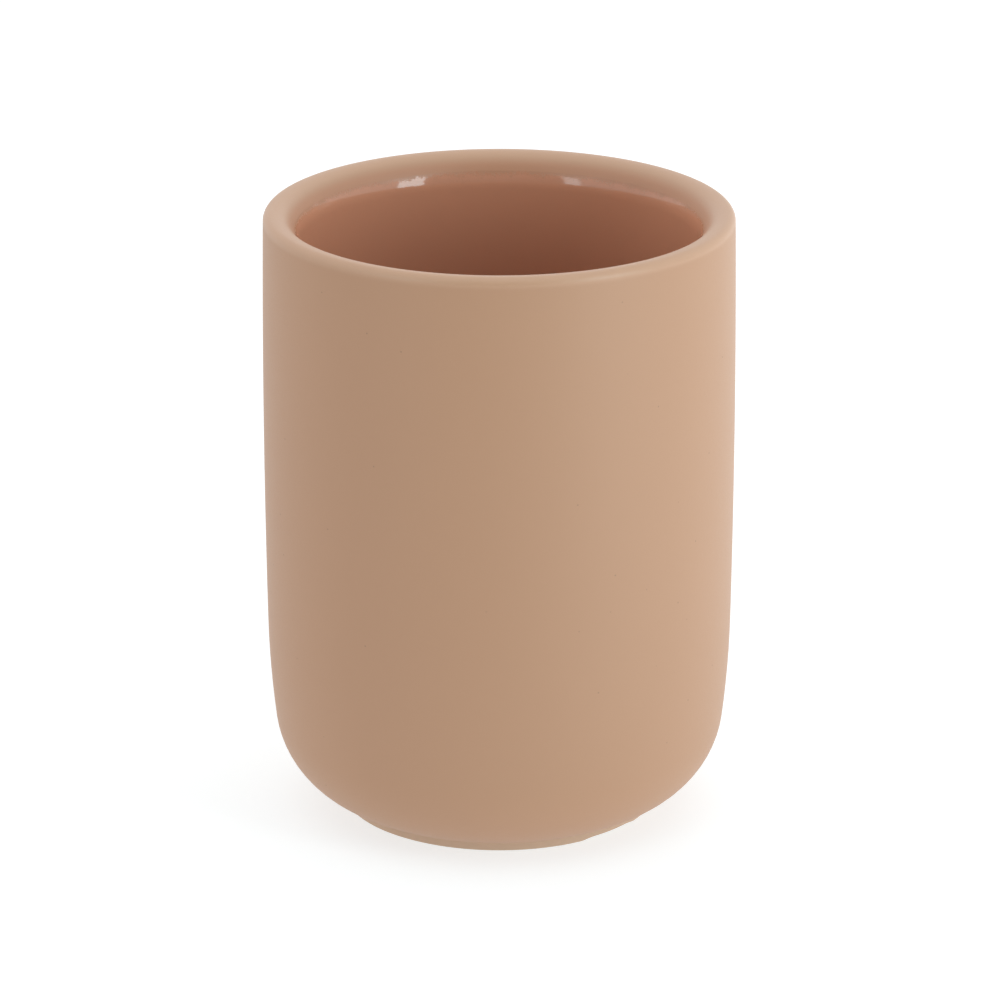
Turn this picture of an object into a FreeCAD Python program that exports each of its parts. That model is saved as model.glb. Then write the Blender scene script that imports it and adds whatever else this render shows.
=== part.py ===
import FreeCAD, Part
import math
import os
from collections import namedtuple
from FreeCAD import Vector

# Bathroom tumbler: a thick stoneware cup, glazed inside and under the base,
# with a matte soft-touch coat over the lip, the outside and the foot ring.
# Millimetres, +Z up, origin on the shelf at the centre of the foot ring.
# The front of the cup faces -Y.

# Cup: the outline is measured over the coat, and the wall from coat to glaze.
cup_height = 100.0
belly_diameter = 76.1
belly_level = 63.0
wall_bow_radius = 1950.0
wall_thickness = 5.7
sweep_level = 31.5
sweep_radius = 160.0
heel_radius = 16.0
underside_level = 0.8

# Lip: a tight round outside, a narrow flat, and a long round inside in two arcs.
# The crown is the tight arc beside the flat, the slope runs on into the wall.
lip_outer_radius = 1.3
lip_flat_width = 0.25
lip_crown_share = 0.55
lip_crown_turn = 45.0
coat_edge_turn = 64.0

# Foot ring, and the recess inside it.
foot_diameter = 51.3
foot_ring_width = 4.0
foot_root_radius = 0.35
foot_edge_radius = 0.25
recess_depth = 1.6
recess_corner_radius = 1.0

# Drain notches: one shallow channel across the foot, so two gaps in the ring.
notch_depth = 0.55
notch_mouth_width = 14.6
notch_roof_width = 8.4
notch_corner_radius = 12.0
notch_bearing = -45.0

# Finishes.
coat_thickness = 0.3
glaze_thickness = 0.4

# How far a cutting tool runs past what it cuts.
cut_overrun = 1.0

AXIS = Vector(0, 0, 1)

# Directions in the profile, as angles counted from the outward direction.
OUT = 0.0
UP = math.pi / 2
IN = math.pi
DOWN = -math.pi / 2

belly_radius = belly_diameter / 2
foot_radius = foot_diameter / 2
recess_radius = foot_radius - foot_ring_width
floor_level = underside_level + wall_thickness


# One arc of a profile, run through from its start angle to its end angle.
Bend = namedtuple("Bend", "centre radius start end")


def at(radius, level):
    """A point of the cup's profile, which is drawn in the XZ plane."""
    return Vector(radius, 0, level)


def on_arc(centre, radius, angle):
    """The point of a profile arc at an angle."""
    return centre + at(radius * math.cos(angle), radius * math.sin(angle))


def bearing(centre, target):
    """The angle under which one point of the profile is seen from another."""
    return math.atan2(target.z - centre.z, target.x - centre.x)


def level_with(centre, distance, level):
    """The point at a distance from a centre, on its outer side, at a given level."""
    return at(centre.x + math.sqrt(distance ** 2 - (level - centre.z) ** 2), level)


# The wall is one long arc, and the sweep and the heel carry it on round to the underside.
bow_centre = at(belly_radius - wall_bow_radius, belly_level)
sweep_start = math.asin((sweep_level - belly_level) / wall_bow_radius)
sweep_centre = on_arc(bow_centre, wall_bow_radius - sweep_radius, sweep_start)
heel_centre = level_with(sweep_centre, sweep_radius - heel_radius, underside_level + heel_radius)
heel_start = bearing(sweep_centre, heel_centre)

# The root arc joins the heel to the foot ring's upright outer wall.
root_reach = foot_radius + foot_root_radius - heel_centre.x
root_drop = math.sqrt((heel_radius + foot_root_radius) ** 2 - root_reach ** 2)
root_centre = heel_centre + at(root_reach, -root_drop)
root_start = bearing(heel_centre, root_centre)

# The lip's outer arc meets the wall's bow, and its inner arcs fill what is left of the wall.
lip_centre = level_with(bow_centre, wall_bow_radius - lip_outer_radius, cup_height - lip_outer_radius)
lip_end = bearing(bow_centre, lip_centre)
lip_inner_width = wall_thickness - lip_outer_radius - lip_flat_width
crown_turn = math.radians(lip_crown_turn)
crown_radius = lip_inner_width * lip_crown_share / math.sin(crown_turn)
slope_radius = lip_inner_width * (1 - lip_crown_share) / (1 - math.sin(crown_turn))
crown_end = UP + crown_turn
slope_level = cup_height - crown_radius - (slope_radius - crown_radius) * math.cos(crown_turn)
slope_centre = level_with(bow_centre, wall_bow_radius - wall_thickness + slope_radius, slope_level)
slope_end = bearing(bow_centre, slope_centre)
crown_centre = on_arc(slope_centre, slope_radius - crown_radius, crown_end)
coat_edge = UP + math.radians(coat_edge_turn)


def over_lip(depth):
    """The arcs under the coat at a depth, from its edge inside the lip to the lip's top."""
    return [
        Bend(slope_centre, slope_radius - depth, coat_edge, crown_end),
        Bend(crown_centre, crown_radius - depth, crown_end, UP),
    ]


def outside(depth):
    """The arcs under the coat at a depth, from the lip's top down to the foot ring."""
    return [
        Bend(lip_centre, lip_outer_radius - depth, UP, lip_end),
        Bend(bow_centre, wall_bow_radius - depth, lip_end, sweep_start),
        Bend(sweep_centre, sweep_radius - depth, sweep_start, heel_start),
        Bend(heel_centre, heel_radius - depth, heel_start, root_start),
        Bend(root_centre, foot_root_radius + depth, root_start + IN, IN),
    ]


def inside(depth):
    """The arcs under the inner glaze at a depth, from the coat's edge down to the floor."""
    wall_depth = wall_thickness - depth
    return [
        Bend(slope_centre, slope_radius - depth, coat_edge, slope_end + IN),
        Bend(bow_centre, wall_bow_radius - wall_depth, slope_end, sweep_start),
        Bend(sweep_centre, sweep_radius - wall_depth, sweep_start, heel_start),
        Bend(heel_centre, heel_radius - wall_depth, heel_start, DOWN),
    ]


def under_foot():
    """The bare foot: its rounded edges, the face it stands on and the recess's corner."""
    outer_edge = at(foot_radius - coat_thickness - foot_edge_radius, foot_edge_radius)
    inner_edge = at(recess_radius + foot_edge_radius, foot_edge_radius)
    return [
        Bend(outer_edge, foot_edge_radius, OUT, DOWN),
        Bend(inner_edge, foot_edge_radius, DOWN, -IN),
        recess_corner(0),
    ]


def recess_corner(depth):
    """The recess's rounded corner, or the base glaze's face at a depth over it."""
    centre = at(recess_radius - recess_corner_radius, recess_depth - recess_corner_radius)
    return Bend(centre, recess_corner_radius - depth, OUT, UP)


def backwards(bends):
    """The same arcs, run through from the other end."""
    return [Bend(bend.centre, bend.radius, bend.end, bend.start) for bend in reversed(bends)]


def points_along(step):
    """The start, middle and end of an arc, or a corner point three times."""
    if not isinstance(step, Bend):
        return step, step, step
    angles = (step.start, (step.start + step.end) / 2, step.end)
    return [on_arc(step.centre, step.radius, angle) for angle in angles]


def closed_outline(steps):
    """A closed wire through arcs and corner points, with straight edges between them."""
    edges = []
    for step, following in zip(steps, steps[1:] + steps[:1]):
        start, middle, end = points_along(step)
        next_start = points_along(following)[0]
        if isinstance(step, Bend):
            edges.append(Part.Arc(start, middle, end).toShape())
        if end.distanceToPoint(next_start) > Part.Precision.confusion():
            edges.append(Part.makeLine(end, next_start))
    return Part.Wire(edges)


def spun(steps):
    """The solid that an outline makes when it is turned about the cup's axis."""
    solid = Part.Face(closed_outline(steps)).revolve(at(0, 0), AXIS, 360)
    return solid if solid.Volume > 0 else solid.reversed()


def drain_channel():
    """The tool that cuts both notches: a low, flat-roofed bar laid across the foot."""
    reach = foot_radius + cut_overrun
    corners = [
        Vector(-reach, -notch_mouth_width / 2, -cut_overrun),
        Vector(-reach, -notch_mouth_width / 2, 0),
        Vector(-reach, -notch_roof_width / 2, notch_depth),
        Vector(-reach, notch_roof_width / 2, notch_depth),
        Vector(-reach, notch_mouth_width / 2, 0),
        Vector(-reach, notch_mouth_width / 2, -cut_overrun),
    ]
    section = Part.Face(Part.makePolygon(corners + corners[:1]))
    bar = section.extrude(Vector(2 * reach, 0, 0))
    roof_edges = [edge for edge in bar.Edges if edge.BoundBox.ZMin > 0 and edge.BoundBox.XLength > reach]
    bar = bar.makeFillet(notch_corner_radius, roof_edges)
    return bar.rotate(at(0, 0), AXIS, notch_bearing)


def stoneware_body():
    """The fired clay cup, with its seats for the coat and for both glazes."""
    outline = inside(glaze_thickness) + [at(0, floor_level - glaze_thickness), at(0, recess_depth)]
    outline += backwards(over_lip(coat_thickness) + outside(coat_thickness) + under_foot())
    return spun(outline).cut(drain_channel())


def inner_glaze():
    """The glossy glaze inside, from the coat's edge down the wall and over the floor."""
    outline = inside(glaze_thickness) + [at(0, floor_level - glaze_thickness), at(0, floor_level)]
    return spun(outline + backwards(inside(0)))


def base_glaze():
    """The glaze in the recess under the base, which stops at the recess's corner."""
    outline = [recess_corner(glaze_thickness), at(0, recess_depth - glaze_thickness), at(0, recess_depth)]
    return spun(outline + backwards([recess_corner(0)]))


def soft_touch_coat():
    """The matte coat, from inside the lip over the outside to just above the foot's edge."""
    outline = over_lip(0) + outside(0)
    outline += [at(foot_radius, foot_edge_radius), at(foot_radius - coat_thickness, foot_edge_radius)]
    outline += backwards(over_lip(coat_thickness) + outside(coat_thickness))
    return spun(outline).cut(drain_channel())


os.makedirs("parts", exist_ok=True)
for piece in (stoneware_body, inner_glaze, base_glaze, soft_touch_coat):
    shape = piece()
    shape.exportStep("parts/" + piece.__name__ + ".step")
    print(piece.__name__, shape.isValid(), round(shape.Volume, 1))
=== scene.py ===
import bmesh
import bpy
import math
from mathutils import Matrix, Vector


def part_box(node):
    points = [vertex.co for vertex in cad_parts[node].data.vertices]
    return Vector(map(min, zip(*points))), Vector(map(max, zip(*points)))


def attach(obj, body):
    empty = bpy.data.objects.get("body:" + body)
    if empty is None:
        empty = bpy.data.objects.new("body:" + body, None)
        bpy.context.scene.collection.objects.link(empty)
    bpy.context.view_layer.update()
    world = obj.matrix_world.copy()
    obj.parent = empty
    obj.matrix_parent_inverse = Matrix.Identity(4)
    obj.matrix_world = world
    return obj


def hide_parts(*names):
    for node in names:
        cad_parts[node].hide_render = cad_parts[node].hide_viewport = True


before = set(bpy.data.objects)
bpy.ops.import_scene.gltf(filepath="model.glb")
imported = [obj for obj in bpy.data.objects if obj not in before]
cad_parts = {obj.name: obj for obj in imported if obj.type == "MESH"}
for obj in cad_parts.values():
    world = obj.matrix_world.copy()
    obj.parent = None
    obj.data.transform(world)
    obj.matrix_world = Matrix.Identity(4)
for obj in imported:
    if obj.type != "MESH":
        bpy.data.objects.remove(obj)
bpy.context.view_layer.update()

# Stoneware body: one thick cup of buff clay, shaped over a turned mould and fired hard.
# The wall is a long shallow bow that sweeps into a round heel. It stands on a low foot
# ring, the only clay left bare, with two shallow drain notches wiped across it.
cup_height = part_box("soft_touch_coat")[1].z
belly_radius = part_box("soft_touch_coat")[1].x
recess_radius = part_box("base_glaze")[1].x
recess_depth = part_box("base_glaze")[1].z
belly_level = 0.063
bow_radius = 1.95
wall_thickness = 0.0057
sweep_level = 0.0315
sweep_radius = 0.16
heel_radius = 0.016
underside_level = 0.0008
floor_level = underside_level + wall_thickness
lip_outer_radius = 0.0013
lip_flat_width = 0.00025
lip_crown_share = 0.55
lip_crown_turn = math.radians(45)
coat_edge_turn = math.radians(64)
foot_ring_width = 0.004
foot_radius = recess_radius + foot_ring_width
foot_root_radius = 0.00035
foot_edge_radius = 0.00025
recess_corner_radius = 0.001
notch_depth = 0.00055
notch_mouth_width = 0.0146
notch_roof_width = 0.0084
notch_corner_radius = 0.012
notch_bearing = math.radians(-45)
coat_thickness = 0.0003
glaze_thickness = 0.0004

# Bearings in the profile are counted from outward.
# The wall's arcs hand over to each other at the starts and ends that follow.
OUT, UP, IN, DOWN = 0.0, math.pi / 2, math.pi, -math.pi / 2
sweep_start = math.asin((sweep_level - belly_level) / bow_radius)
lip_end = math.asin((cup_height - lip_outer_radius - belly_level) / (bow_radius - lip_outer_radius))


def toward(bearing):
    """The direction in the profile's upright plane at a bearing."""
    return Vector((math.cos(bearing), 0, math.sin(bearing)))


bow_centre = Vector((belly_radius - bow_radius, 0, belly_level))
lip_centre = bow_centre + (bow_radius - lip_outer_radius) * toward(lip_end)
sweep_centre = bow_centre + (bow_radius - sweep_radius) * toward(sweep_start)
heel_drop = underside_level + heel_radius - sweep_centre.z
heel_start = math.asin(heel_drop / (sweep_radius - heel_radius))
heel_centre = sweep_centre + (sweep_radius - heel_radius) * toward(heel_start)
root_reach = foot_radius + foot_root_radius - heel_centre.x
root_start = -math.acos(root_reach / (heel_radius + foot_root_radius))

# Inside, the lip is a tight crown beside the flat and a longer slope that runs on into the wall.
lip_inner_width = wall_thickness - lip_outer_radius - lip_flat_width
crown_radius = lip_inner_width * lip_crown_share / math.sin(lip_crown_turn)
slope_radius = lip_inner_width * (1 - lip_crown_share) / (1 - math.sin(lip_crown_turn))
crown_end = UP + lip_crown_turn
coat_edge = UP + coat_edge_turn
slope_drop = crown_radius + (slope_radius - crown_radius) * math.cos(lip_crown_turn)
slope_distance = bow_radius - wall_thickness + slope_radius
slope_end = math.asin((cup_height - slope_drop - belly_level) / slope_distance)
slope_centre = bow_centre + slope_distance * toward(slope_end)

largest_turn, longest_step, fewest_steps = math.radians(5), 0.003, 2
steps_round = 288
weld_distance = 0.000002
crease_angle = math.radians(35)


def run(outline, tip, radius, level):
    """Carries the profile on, straight to a point."""
    tip = bmesh.ops.extrude_vert_indiv(outline, verts=[tip])["verts"][0]
    tip.co = (radius, 0, level)
    return tip


def bend(outline, tip, radius, start, end):
    """Carries the profile on round an arc, from one bearing to another about its centre."""
    turn = abs(end - start)
    steps = math.ceil(max(turn / largest_turn, turn * radius / longest_step, fewest_steps))
    swing = bmesh.ops.spin(outline, geom=[tip], cent=tip.co - radius * toward(start),
                           axis=(0, -1, 0), angle=end - start, steps=steps)
    return next(part for part in swing["geom_last"] if isinstance(part, bmesh.types.BMVert))


def up_inside(outline, depth):
    """The inside at a depth under the glaze's face, from the axis up to the coat's edge."""
    wall_depth = wall_thickness - depth
    tip = outline.verts.new((0, 0, floor_level - depth))
    tip = run(outline, tip, heel_centre.x, floor_level - depth)
    tip = bend(outline, tip, heel_radius - wall_depth, DOWN, heel_start)
    tip = bend(outline, tip, sweep_radius - wall_depth, heel_start, sweep_start)
    tip = bend(outline, tip, bow_radius - wall_depth, sweep_start, slope_end)
    return bend(outline, tip, slope_radius - depth, slope_end + IN, coat_edge)


def over_and_down(outline, tip, depth):
    """The outside at a depth under the coat's face, from the coat's edge to the foot's wall."""
    tip = bend(outline, tip, slope_radius - depth, coat_edge, crown_end)
    tip = bend(outline, tip, crown_radius - depth, crown_end, UP)
    tip = run(outline, tip, lip_centre.x, cup_height - depth)
    tip = bend(outline, tip, lip_outer_radius - depth, UP, lip_end)
    tip = bend(outline, tip, bow_radius - depth, lip_end, sweep_start)
    tip = bend(outline, tip, sweep_radius - depth, sweep_start, heel_start)
    tip = bend(outline, tip, heel_radius - depth, heel_start, root_start)
    return bend(outline, tip, foot_root_radius + depth, root_start + IN, IN)


def turn_round(outline):
    """Turns a profile once round the cup's axis, and closes the seam and the poles."""
    bmesh.ops.spin(outline, geom=outline.verts[:] + outline.edges[:], cent=(0, 0, 0),
                   axis=(0, 0, 1), angle=2 * math.pi, steps=steps_round, use_merge=True)
    bmesh.ops.remove_doubles(outline, verts=outline.verts[:], dist=weld_distance)
    bmesh.ops.recalc_face_normals(outline, faces=outline.faces[:])


def wipe_notches(shell):
    """Lifts the foot's underside to the roof of the channel that crosses it."""
    ramp = math.atan2(notch_depth, (notch_mouth_width - notch_roof_width) / 2)
    rounding = notch_corner_radius * math.tan(ramp / 2)
    for point in shell.verts:
        across = abs(point.co.y * math.cos(notch_bearing) - point.co.x * math.sin(notch_bearing))
        past = across - notch_roof_width / 2 + rounding
        if past < 0:
            roof = notch_depth
        elif past < notch_corner_radius * math.sin(ramp):
            sag = notch_corner_radius - math.sqrt(notch_corner_radius ** 2 - past ** 2)
            roof = notch_depth - sag
        else:
            roof = (notch_mouth_width / 2 - across) * math.tan(ramp)
        point.co.z = max(point.co.z, roof)


def make_piece(shell, name):
    """A finished, smooth-shaded piece of the cup, in place of the solid of that name."""
    mesh = bpy.data.meshes.new(name)
    shell.to_mesh(mesh)
    shell.free()
    mesh.shade_smooth()
    mesh.set_sharp_from_angle(angle=crease_angle)
    piece = bpy.data.objects.new(name + "_finished", mesh)
    bpy.context.scene.collection.objects.link(piece)
    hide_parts(name)
    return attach(piece, "root")


clay = bmesh.new()
tip = up_inside(clay, glaze_thickness)
seat = slope_centre + (slope_radius - coat_thickness) * toward(coat_edge)
tip = run(clay, tip, seat.x, seat.z)
tip = over_and_down(clay, tip, coat_thickness)
tip = run(clay, tip, foot_radius - coat_thickness, foot_edge_radius)
tip = bend(clay, tip, foot_edge_radius, OUT, DOWN)
tip = run(clay, tip, recess_radius + foot_edge_radius, 0)
tip = bend(clay, tip, foot_edge_radius, DOWN, -IN)
tip = run(clay, tip, recess_radius, recess_depth - recess_corner_radius)
tip = bend(clay, tip, recess_corner_radius, OUT, UP)
tip = run(clay, tip, 0, recess_depth)
turn_round(clay)
wipe_notches(clay)
body = make_piece(clay, "stoneware_body")


class Finish:
    """A surface finish: its material, and patterns laid out over the piece in metres."""

    least_patch, most_patch = 0.3, 0.7

    def __init__(self, name):
        self.material = bpy.data.materials.new(name)
        self.material.use_nodes = True
        self.nodes = self.material.node_tree.nodes
        self.links = self.material.node_tree.links
        self.shader = self.nodes["Principled BSDF"]
        self.place = self.nodes.new("ShaderNodeTexCoord").outputs["Object"]
        split = self.nodes.new("ShaderNodeSeparateXYZ")
        self.links.new(self.place, split.inputs["Vector"])
        self.across, self.level = split.outputs["X"], split.outputs["Z"]
        flat = self.nodes.new("ShaderNodeCombineXYZ")
        self.links.new(split.outputs["X"], flat.inputs["X"])
        self.links.new(split.outputs["Y"], flat.inputs["Y"])
        length = self.nodes.new("ShaderNodeVectorMath")
        length.operation = "LENGTH"
        self.links.new(flat.outputs["Vector"], length.inputs[0])
        self.radius = length.outputs["Value"]

    def set(self, **values):
        """Sets the shader's plain values, and links what varies over the piece."""
        for name, value in values.items():
            socket = self.shader.inputs[name.replace("_", " ")]
            if isinstance(value, bpy.types.NodeSocket):
                self.links.new(value, socket)
            else:
                socket.default_value = value

    def patches(self, size, stretch=1.0, detail=2.0):
        """Soft patches from 0 to 1, of about one size, and drawn out in height by the stretch."""
        squeeze = self.nodes.new("ShaderNodeMapping")
        squeeze.inputs["Scale"].default_value = (1 / size, 1 / size, 1 / size / stretch)
        noise = self.nodes.new("ShaderNodeTexNoise")
        noise.inputs["Scale"].default_value = 1.0
        noise.inputs["Detail"].default_value = detail
        self.links.new(self.place, squeeze.inputs["Vector"])
        self.links.new(squeeze.outputs["Vector"], noise.inputs["Vector"])
        return noise.outputs["Fac"]

    def specks(self, spacing, radius):
        """Scattered round specks, 1 in their inner half and 0 between them."""
        cells = self.nodes.new("ShaderNodeTexVoronoi")
        cells.inputs["Scale"].default_value = 1 / spacing
        self.links.new(self.place, cells.inputs["Vector"])
        return self.ease(cells.outputs["Distance"], radius / spacing, radius / spacing / 2)

    def ease(self, value, start, end, first=0.0, last=1.0):
        """Goes smoothly from the first result to the last, as a value goes from start to end."""
        slope = self.nodes.new("ShaderNodeMapRange")
        slope.interpolation_type = "SMOOTHSTEP"
        slope.inputs["From Min"].default_value = start
        slope.inputs["From Max"].default_value = end
        slope.inputs["To Min"].default_value = first
        slope.inputs["To Max"].default_value = last
        self.links.new(value, slope.inputs["Value"])
        return slope.outputs["Result"]

    def between(self, patches, first, last):
        """Soft patches, which seldom come near 0 or 1, spread out between two results."""
        return self.ease(patches, self.least_patch, self.most_patch, first, last)

    def joined(self, how, first, second):
        """Two patterns added, multiplied or taken the larger of."""
        joint = self.nodes.new("ShaderNodeMath")
        joint.operation = how
        self.links.new(first, joint.inputs[0])
        self.links.new(second, joint.inputs[1])
        return joint.outputs["Value"]

    def tint(self, share, colour, other):
        """One colour, that gives way to another where the share goes from 0 to 1."""
        mix = self.nodes.new("ShaderNodeMix")
        mix.data_type = "RGBA"
        self.links.new(share, mix.inputs["Factor"])
        for socket, given in ((mix.inputs["A"], colour), (mix.inputs["B"], other)):
            if isinstance(given, bpy.types.NodeSocket):
                self.links.new(given, socket)
            else:
                socket.default_value = (*given, 1)
        return mix.outputs["Result"]

    def relief(self, height, depth, over=None):
        """A surface raised by the depth where the height is 1, on top of another relief."""
        bump = self.nodes.new("ShaderNodeBump")
        bump.inputs["Distance"].default_value = depth
        self.links.new(height, bump.inputs["Height"])
        if over:
            self.links.new(over, bump.inputs["Normal"])
        return bump.outputs["Normal"]


# The kiln flushes the clay in patches, and iron shows in it as specks.
# The face it stands on is ground pale.
buff, flushed = (0.58, 0.48, 0.37), (0.60, 0.46, 0.34)
iron, ground = (0.24, 0.15, 0.09), (0.66, 0.58, 0.48)
flush_size = 0.009
grit_size, grit_height = 0.0004, 0.00003
iron_spacing, iron_radius = 0.0016, 0.00025
ground_full, ground_end = 0.00005, 0.0002
clay_smoothest, clay_roughest = 0.78, 0.92
bare_clay = Finish("bare_stoneware")
grit = bare_clay.patches(grit_size)
standing = bare_clay.ease(bare_clay.level, ground_end, ground_full)
colour = bare_clay.tint(bare_clay.patches(flush_size), buff, flushed)
colour = bare_clay.tint(standing, colour, ground)
colour = bare_clay.tint(bare_clay.specks(iron_spacing, iron_radius), colour, iron)
bare_clay.set(Base_Color=colour,
              Roughness=bare_clay.between(grit, clay_smoothest, clay_roughest),
              Normal=bare_clay.relief(grit, grit_height))
body.data.materials.append(bare_clay.material)

# Inner glaze: a glossy glaze poured into the fired cup and swirled out again.
# It covers the floor, where it pools, and the wall, where it runs down in faint streaks.
# It ends at the coat's edge on the lip's inner slope, dulled there by the coat's overspray.
lining = bmesh.new()
up_inside(lining, 0)
turn_round(lining)
bmesh.ops.solidify(lining, geom=lining.faces[:], thickness=glaze_thickness)
inside = make_piece(lining, "inner_glaze")

glaze_brown, streak_brown = (0.55, 0.259, 0.159), (0.57, 0.271, 0.167)
pooled_brown, thinned_brown = (0.38, 0.17, 0.1), (0.645, 0.31, 0.19)
glaze_index = 1.6
glaze_smoothest, glaze_roughest = 0.07, 0.1
streak_width, streak_stretch = 0.0045, 6
wave_size, wave_height = 0.011, 0.00003
pinhole_spacing, pinhole_radius, pinhole_depth = 0.0055, 0.00014, 0.00005
thinning_start, thinning_end = 0.079, 0.0965
pool_top = 0.017
glaze = Finish("glossy_glaze")
wave = glaze.patches(wave_size)
pinholes = glaze.specks(pinhole_spacing, pinhole_radius)
streaks = glaze.patches(streak_width, stretch=streak_stretch)
colour = glaze.tint(streaks, glaze_brown, streak_brown)
colour = glaze.tint(glaze.ease(glaze.level, thinning_start, thinning_end), colour, thinned_brown)
colour = glaze.tint(glaze.ease(glaze.level, pool_top, floor_level), colour, pooled_brown)
colour = glaze.tint(pinholes, colour, pooled_brown)

# The overspray lies in fine drops and small drifts, and thins out below the coat's edge.
mist_brown, mist_roughness = (0.518, 0.262, 0.151), 0.42
mist_top = slope_centre.z + slope_radius * math.sin(coat_edge)
mist_width, mist_overlap = 0.0012, 0.0002
mist_reach, mist_dense = 0.0026, 0.0008
drop_size, drop_spread = 0.0003, 0.25
drift_size, drift_spread = 0.003, 0.25
mist_none, mist_full = 0.1, 1.0
drops = glaze.between(glaze.patches(drop_size, detail=1), -drop_spread, drop_spread)
drifts = glaze.between(glaze.patches(drift_size), -drift_spread, drift_spread)
mist = glaze.ease(glaze.level, mist_top - mist_width, mist_top + mist_overlap)
mist = glaze.joined("ADD", mist, glaze.joined("ADD", drops, drifts))
mist = glaze.ease(mist, mist_none, mist_full)
reach = glaze.ease(glaze.level, mist_top - mist_reach, mist_top - mist_dense)
mist = glaze.joined("MULTIPLY", mist, reach)
gloss = glaze.between(wave, glaze_smoothest, glaze_roughest)
glaze.set(Base_Color=glaze.tint(mist, colour, mist_brown), IOR=glaze_index,
          Roughness=glaze.joined("MAXIMUM", gloss, glaze.ease(mist, 0, 1, 0, mist_roughness)),
          Normal=glaze.relief(pinholes, -pinhole_depth, glaze.relief(wave, wave_height)))
inside.data.materials.append(glaze.material)

# Base glaze: the same glaze as inside, brushed into the recess under the base.
# It stops at the recess's corner, so that the foot ring stays bare in the kiln.
underglaze = bmesh.new()
tip = underglaze.verts.new((recess_radius, 0, recess_depth - recess_corner_radius))
tip = bend(underglaze, tip, recess_corner_radius, OUT, UP)
tip = run(underglaze, tip, 0, recess_depth)
turn_round(underglaze)
bmesh.ops.solidify(underglaze, geom=underglaze.faces[:], thickness=glaze_thickness)
base = make_piece(underglaze, "base_glaze")
base.data.materials.append(glaze.material)

# Soft-touch coat: a matte rubbery lacquer sprayed over the lip, the outside and the foot's wall.
# The inside is masked while it is sprayed, so its edge is a ring just inside the lip.
# It is thin and lets the glaze's brown through there. It is lighter on the lip's top, where the
# colour is painted light, and on the foot, where it is wear and painted light.
skin = bmesh.new()
edge = slope_centre + slope_radius * toward(coat_edge)
tip = over_and_down(skin, skin.verts.new(edge), 0)
run(skin, tip, foot_radius, foot_edge_radius)
turn_round(skin)
bmesh.ops.solidify(skin, geom=skin.faces[:], thickness=coat_thickness)
wipe_notches(skin)
coat = make_piece(skin, "soft_touch_coat")

lacquer_tan, pale_cloud = (0.477, 0.2635, 0.1505), (0.485, 0.2685, 0.1545)
dark_speck, thin_coat_and_shade_brown = (0.35, 0.195, 0.11), (0.53, 0.27, 0.156)
# The lip's tan is painted light. The foot's tan is wear and painted light.
lip_painted_light_tan, foot_worn_lit_tan = (0.577, 0.349, 0.221), (0.595, 0.405, 0.278)
coat_index = 1.62
coat_smoothest, coat_roughest, lip_polish = 0.47, 0.53, 0.1
cloud_size = 0.022
speck_spacing, speck_radius = 0.004, 0.00018
grain_size, grain_height = 0.00022, 0.000012
peel_size, peel_height = 0.0016, 0.000008
soft_touch = Finish("soft_touch_lacquer")
grain = soft_touch.patches(grain_size)
peel = soft_touch.patches(peel_size)
colour = soft_touch.tint(soft_touch.patches(cloud_size), lacquer_tan, pale_cloud)
colour = soft_touch.tint(soft_touch.specks(speck_spacing, speck_radius), colour, dark_speck)

# Thin inside the lip: high up on the cup, and further in from the belly than the lip's flat.
# The thin zone is shifted to the right, so the coat turns brown sooner on that side. This is
# painted shade on the right inner slope.
fade_drop, thin_drop = 0.008, 0.004
fade_inset, thin_inset = 0.0031, 0.0046
right_shade_offset = 0.0004
right_shade_shift = soft_touch.ease(soft_touch.across, -belly_radius, belly_radius, right_shade_offset, -right_shade_offset)
radius_with_right_shade = soft_touch.joined("ADD", soft_touch.radius, right_shade_shift)
upper = soft_touch.ease(soft_touch.level, cup_height - fade_drop, cup_height - thin_drop)
inner = soft_touch.ease(radius_with_right_shade, belly_radius - fade_inset, belly_radius - thin_inset)
thin_coat_and_shade = soft_touch.joined("MULTIPLY", upper, inner)
# The brown here is thin coat over glaze, and on the right it is also painted shade.
colour = soft_touch.tint(thin_coat_and_shade, colour, thin_coat_and_shade_brown)

# Painted light on the lip's top, which is lighter there. The top is also a little smoother from
# handling.
lit_handled_fade_drop, lit_handled_full_drop = 0.002, 0.0003
lit_and_handled_top = soft_touch.ease(soft_touch.level, cup_height - lit_handled_fade_drop, cup_height - lit_handled_full_drop)
colour = soft_touch.tint(lit_and_handled_top, colour, lip_painted_light_tan)

# Lighter on the foot's wall and its root, up to a slightly ragged line. This is partly rubbed wear
# and partly painted light, which lifts the shade under the heel and paints a sheen at the root.
worn_lit_top, worn_lit_full, worn_lit_rag, worn_lit_rag_size = 0.0023, 0.0014, 0.0001, 0.0006
worn_lit_reach, worn_lit_full_reach = 0.0026, 0.0012
worn_lit_ragged = soft_touch.between(soft_touch.patches(worn_lit_rag_size), -worn_lit_rag, worn_lit_rag)
worn_and_lit = soft_touch.ease(soft_touch.joined("ADD", soft_touch.level, worn_lit_ragged), worn_lit_top, worn_lit_full)
worn_lit_near = soft_touch.ease(soft_touch.radius, foot_radius + worn_lit_reach, foot_radius + worn_lit_full_reach)
worn_and_lit = soft_touch.joined("MULTIPLY", worn_and_lit, worn_lit_near)
colour = soft_touch.tint(worn_and_lit, colour, foot_worn_lit_tan)

matte = soft_touch.between(grain, coat_smoothest, coat_roughest)
polish = soft_touch.ease(lit_and_handled_top, 0, 1, 0, -lip_polish)
soft_touch.set(Base_Color=colour, IOR=coat_index,
               Roughness=soft_touch.joined("ADD", matte, polish),
               Normal=soft_touch.relief(grain, grain_height, soft_touch.relief(peel, peel_height)))
coat.data.materials.append(soft_touch.material)

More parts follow.
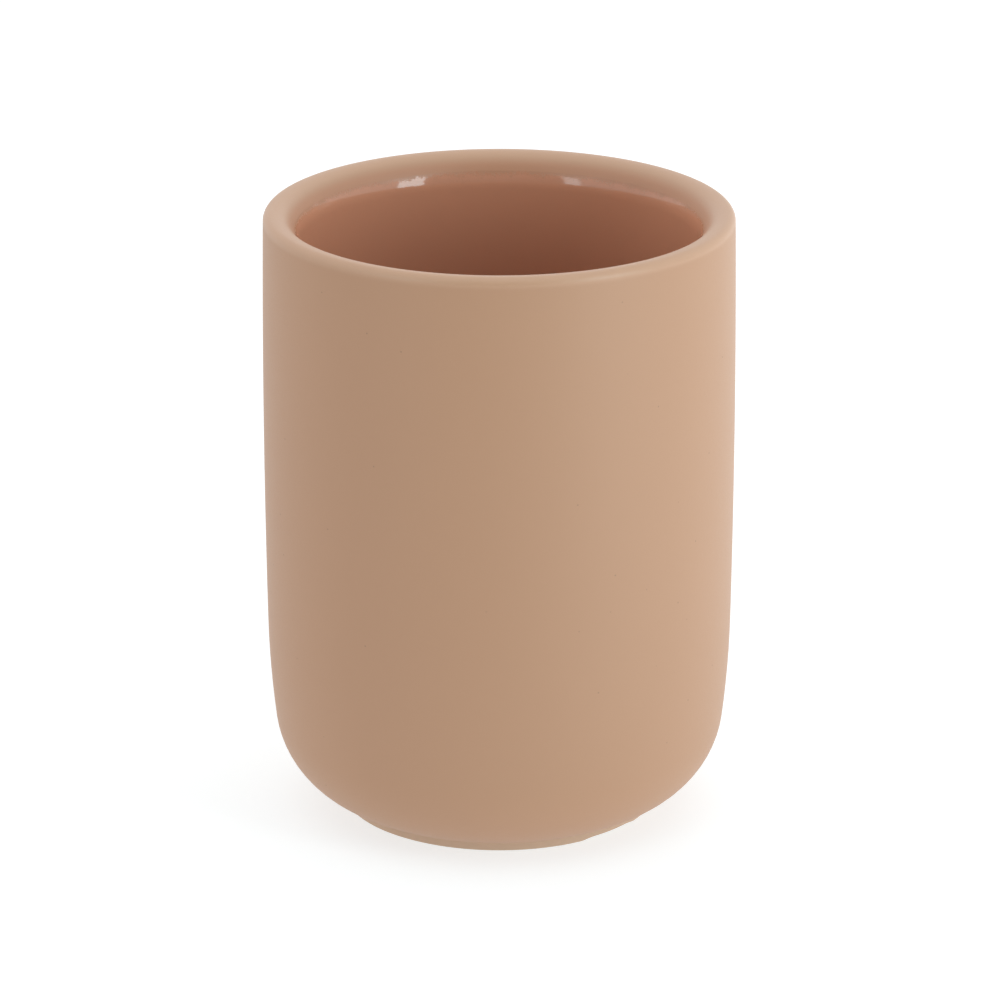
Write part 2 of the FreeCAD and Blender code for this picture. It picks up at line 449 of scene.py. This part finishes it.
# Floor: a wide sheet of white paper that the cup stands on, brighter toward the light on the right.
# To the camera and in reflections it is white all over, apart from the cup's soft shadow.
# Its glow is slightly cool, so that the cup's warm colour doesn't tint the shadow.
sheet_reach = 6
fibre_size = 0.0008
grey_fibre, pale_fibre = (0.49, 0.49, 0.49), (0.51, 0.51, 0.51)
glow_reach, left_glow, right_glow, seen_glow = 0.2, 0.21, 0.92, 0.64
cool_white = (0.96, 1, 1.015, 1)
paper_roughness, paper_shine = 1.0, 0.0
sheet = bmesh.new()
bmesh.ops.create_grid(sheet, x_segments=1, y_segments=1, size=sheet_reach)
floor_mesh = bpy.data.meshes.new("floor")
sheet.to_mesh(floor_mesh)
sheet.free()
floor = bpy.data.objects.new("floor", floor_mesh)
bpy.context.scene.collection.objects.link(floor)
paper = Finish("white_paper")
ray = paper.nodes.new("ShaderNodeLightPath").outputs
seen = paper.joined("MAXIMUM", ray["Is Camera Ray"], ray["Is Glossy Ray"])
seen = paper.joined("MAXIMUM", seen, ray["Is Transmission Ray"])
glow = paper.ease(paper.across, -glow_reach, glow_reach, left_glow, right_glow)
paper.set(Base_Color=paper.tint(paper.patches(fibre_size), grey_fibre, pale_fibre),
          Roughness=paper_roughness, Specular_IOR_Level=paper_shine, Emission_Color=cool_white,
          Emission_Strength=paper.joined("MAXIMUM", glow, paper.ease(seen, 0, 1, 0, seen_glow)))
floor.data.materials.append(paper.material)

# Studio: white walls and ceiling all round, and two upright daylight softboxes before the cup.
# A dark card stands between them, behind the camera, and darkens the cup's front.
wall_white, wall_brightness = (1, 1, 1, 1), 1.0
world = bpy.data.worlds.new("white_studio")
bpy.context.scene.world = world
world.use_nodes = True
walls = world.node_tree.nodes["Background"].inputs
walls["Color"].default_value = wall_white
walls["Strength"].default_value = wall_brightness

card_distance = 1.5
card_left, card_right, card_top = -1.13, 1.45, 2.6
card_grey = (0.25, 0.25, 0.25, 1)
card_roughness, card_shine = 1.0, 0.0
board = bmesh.new()
corner = board.verts.new((card_left, -card_distance, 0))
side = bmesh.ops.extrude_vert_indiv(board, verts=[corner])
side["verts"][0].co.x = card_right
for part in bmesh.ops.extrude_edge_only(board, edges=side["edges"])["geom"]:
    if isinstance(part, bmesh.types.BMVert):
        part.co.z = card_top
card_mesh = bpy.data.meshes.new("dark_card")
board.to_mesh(card_mesh)
board.free()
card = bpy.data.objects.new("dark_card", card_mesh)
bpy.context.scene.collection.objects.link(card)
card.visible_camera = False
dark_card = Finish("dark_card")
dark_card.set(Base_Color=card_grey, Roughness=card_roughness, Specular_IOR_Level=card_shine)
card.data.materials.append(dark_card.material)

box_distance, box_lift = 1.0, 0.03
daylight = (0.82, 1.02, 1.06)


def stand_softbox(name, bearing, width, height, brightness):
    """An upright softbox that faces the cup, at a bearing in degrees to the right of the front."""
    lamp = bpy.data.lights.new(name, "AREA")
    lamp.shape = "RECTANGLE"
    lamp.size, lamp.size_y = width, height
    lamp.energy = brightness * math.pi * width * height
    lamp.color = daylight
    box = bpy.data.objects.new(name, lamp)
    bpy.context.scene.collection.objects.link(box)
    angle = math.radians(bearing)
    box.location = box_distance * Vector((math.sin(angle), -math.cos(angle), 0))
    box.location.z = box_lift + height / 2
    box.rotation_euler = (math.pi / 2, 0, angle)
    box.visible_camera = False


stand_softbox("right_softbox", bearing=52.7, width=0.29, height=0.75, brightness=4.2)
stand_softbox("left_softbox", bearing=-43.5, width=0.17, height=0.75, brightness=2.0)

# Camera: a long lens in front of the cup, about 19 degrees above the horizontal.
# Its distance and its rise are what the photo's two lip ellipses and its foot ask for.
camera_distance = 0.86644
camera_rise = math.radians(19.351)
focal_length, sensor_width = 191.86, 36.0
near_clip = 0.01
picture_centre = Vector((0.00012, 0, 0.05105))
lens = bpy.data.cameras.new("camera")
lens.lens, lens.sensor_width = focal_length, sensor_width
lens.clip_start = near_clip
camera = bpy.data.objects.new("camera", lens)
bpy.context.scene.collection.objects.link(camera)
camera.location = camera_distance * Vector((0, -math.cos(camera_rise), math.sin(camera_rise)))
camera.location.z += cup_height / 2
camera.rotation_euler = (picture_centre - camera.location).to_track_quat("-Z", "Y").to_euler()
bpy.context.scene.camera = camera
bpy.context.scene.view_settings.view_transform = "Standard"
